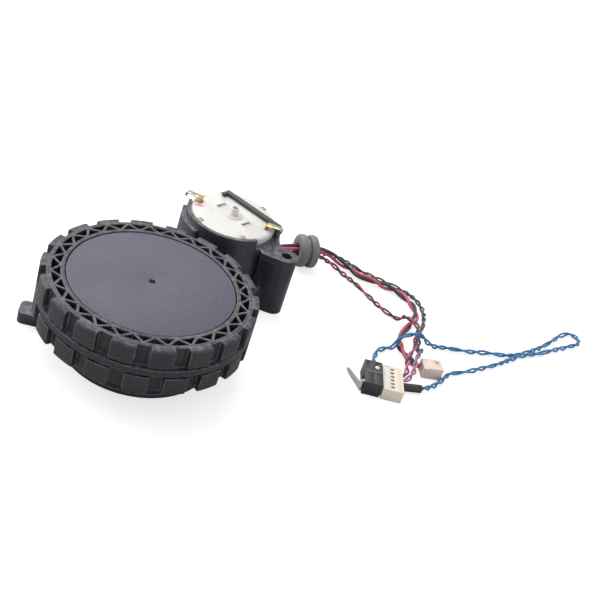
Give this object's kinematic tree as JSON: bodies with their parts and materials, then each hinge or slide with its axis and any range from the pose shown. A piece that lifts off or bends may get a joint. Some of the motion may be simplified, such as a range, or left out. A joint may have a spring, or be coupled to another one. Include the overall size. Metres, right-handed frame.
{
  "type": "robot vacuum wheel module",
  "caption": "Drive wheel module with a lugged tyre, a gearbox below it, a round motor in a cradle, a screw post, and leads with plugs and a snap switch.",
  "frame": {"origin": "on the wheel axis, in the plane of the gearbox's flat base", "axes": "+Z along the wheel axis towards the outer side of the wheel, +X to the right in the picture, +Y away from the camera"},
  "size_m": [0.2162, 0.124, 0.0301],
  "materials": {
    "tyre_rubber": "moulded rubber, satin",
    "hub_plastic": "moulded plastic",
    "cover_plastic": "fine textured plastic",
    "steel": "turned steel",
    "gear_plastic": "moulded acetal",
    "shield_rubber": "moulded seal",
    "bronze": "sintered bronze",
    "housing_plastic": "moulded plastic",
    "brass": "turned brass",
    "copper": "wound armature",
    "magnet": "sintered",
    "can_steel": "plated steel",
    "cap_plastic": "moulded plastic",
    "tinned_brass": "tinned tags",
    "strap_plastic": "moulded plastic",
    "board": "solder mask",
    "grommet_rubber": "moulded rubber",
    "switch_plastic": "moulded plastic",
    "button_plastic": "moulded plastic",
    "spring_steel": "spring strip",
    "plug_plastic": "moulded plastic",
    "sleeve": "shrunk sleeve",
    "power_wire": "wire insulation, red with black",
    "sensor_wire_a": "wire insulation, red with black",
    "sensor_wire_b": "wire insulation, black with blue-grey",
    "switch_wire": "wire insulation, blue"
  },
  "bodies": {
    "housing": {"ball_bearing_outer": "steel", "bearing_shield": "shield_rubber", "lower_bush": "bronze", "gearbox_housing": "housing_plastic", "gearbox_base": "housing_plastic", "base_screws": "steel", "gear_pins": "steel", "motor_magnet": "magnet", "motor_can": "can_steel", "motor_bush": "bronze", "motor_cap": "cap_plastic", "motor_terminals": "tinned_brass", "motor_strap": "strap_plastic", "motor_screws": "steel", "sensor_board": "board", "grommet": "grommet_rubber", "snap_switch_base": "switch_plastic", "snap_switch_cover": "switch_plastic", "switch_pivot": "steel", "switch_legs": "tinned_brass", "plug_long": "plug_plastic", "plug_long_contacts": "tinned_brass", "plug_short": "plug_plastic", "lead_sleeve": "sleeve", "power_lead": "power_wire", "sensor_lead_a": "sensor_wire_a", "sensor_lead_b": "sensor_wire_b", "switch_lead": "switch_wire"},
    "wheel": {"tyre": "tyre_rubber", "wheel_hub": "hub_plastic", "hub_cover": "cover_plastic", "wheel_shaft": "steel", "hub_screw": "steel", "shaft_gear": "gear_plastic", "ball_bearing_inner": "steel"},
    "third_gear": {"gear_third": "gear_plastic"},
    "second_gear": {"gear_second": "gear_plastic"},
    "first_gear": {"gear_first": "gear_plastic"},
    "rotor": {"motor_pinion": "brass", "motor_shaft": "steel", "motor_rotor": "copper"},
    "lever": {"switch_lever": "spring_steel"},
    "button": {"switch_button": "button_plastic"}
  },
  "joints": [
    {"name": "wheel_spin", "type": "hinge", "parent": "housing", "child": "wheel", "pos_m": [0, 0, 0.018], "axis": [0, 0, 1], "continuous": true},
    {"name": "third_gear_spin", "type": "hinge", "parent": "housing", "child": "third_gear", "pos_m": [0.00163, 0.01792, 0.005], "axis": [0, 0, 1], "continuous": true},
    {"name": "second_gear_spin", "type": "hinge", "parent": "housing", "child": "second_gear", "pos_m": [0.01301, 0.03187, 0.005], "axis": [0, 0, 1], "continuous": true},
    {"name": "first_gear_spin", "type": "hinge", "parent": "housing", "child": "first_gear", "pos_m": [0.01203, 0.04734, 0.005], "axis": [0, 0, 1], "continuous": true},
    {"name": "rotor_spin", "type": "hinge", "parent": "housing", "child": "rotor", "pos_m": [0.0227, 0.0556, 0.01], "axis": [0, 0, 1], "continuous": true},
    {"name": "lever_swing", "type": "hinge", "parent": "housing", "child": "lever", "pos_m": [0.0788, 0.0054, 0.0029], "axis": [0, 0, 1], "range_deg": [-20, 0], "stiffness_Nm_per_rad": 0.002},
    {"name": "button_push", "type": "slide", "parent": "housing", "child": "button", "axis": [1, 0, 0], "range_m": [0, 0.0004], "stiffness_N_per_m": 200}
  ],
  "couplings": [
    {"joint": "first_gear_spin", "follows": "rotor_spin", "ratio": -0.35},
    {"joint": "second_gear_spin", "follows": "rotor_spin", "ratio": 0.10208},
    {"joint": "third_gear_spin", "follows": "rotor_spin", "ratio": -0.029167},
    {"joint": "wheel_spin", "follows": "rotor_spin", "ratio": 0.0083333}
  ]
}
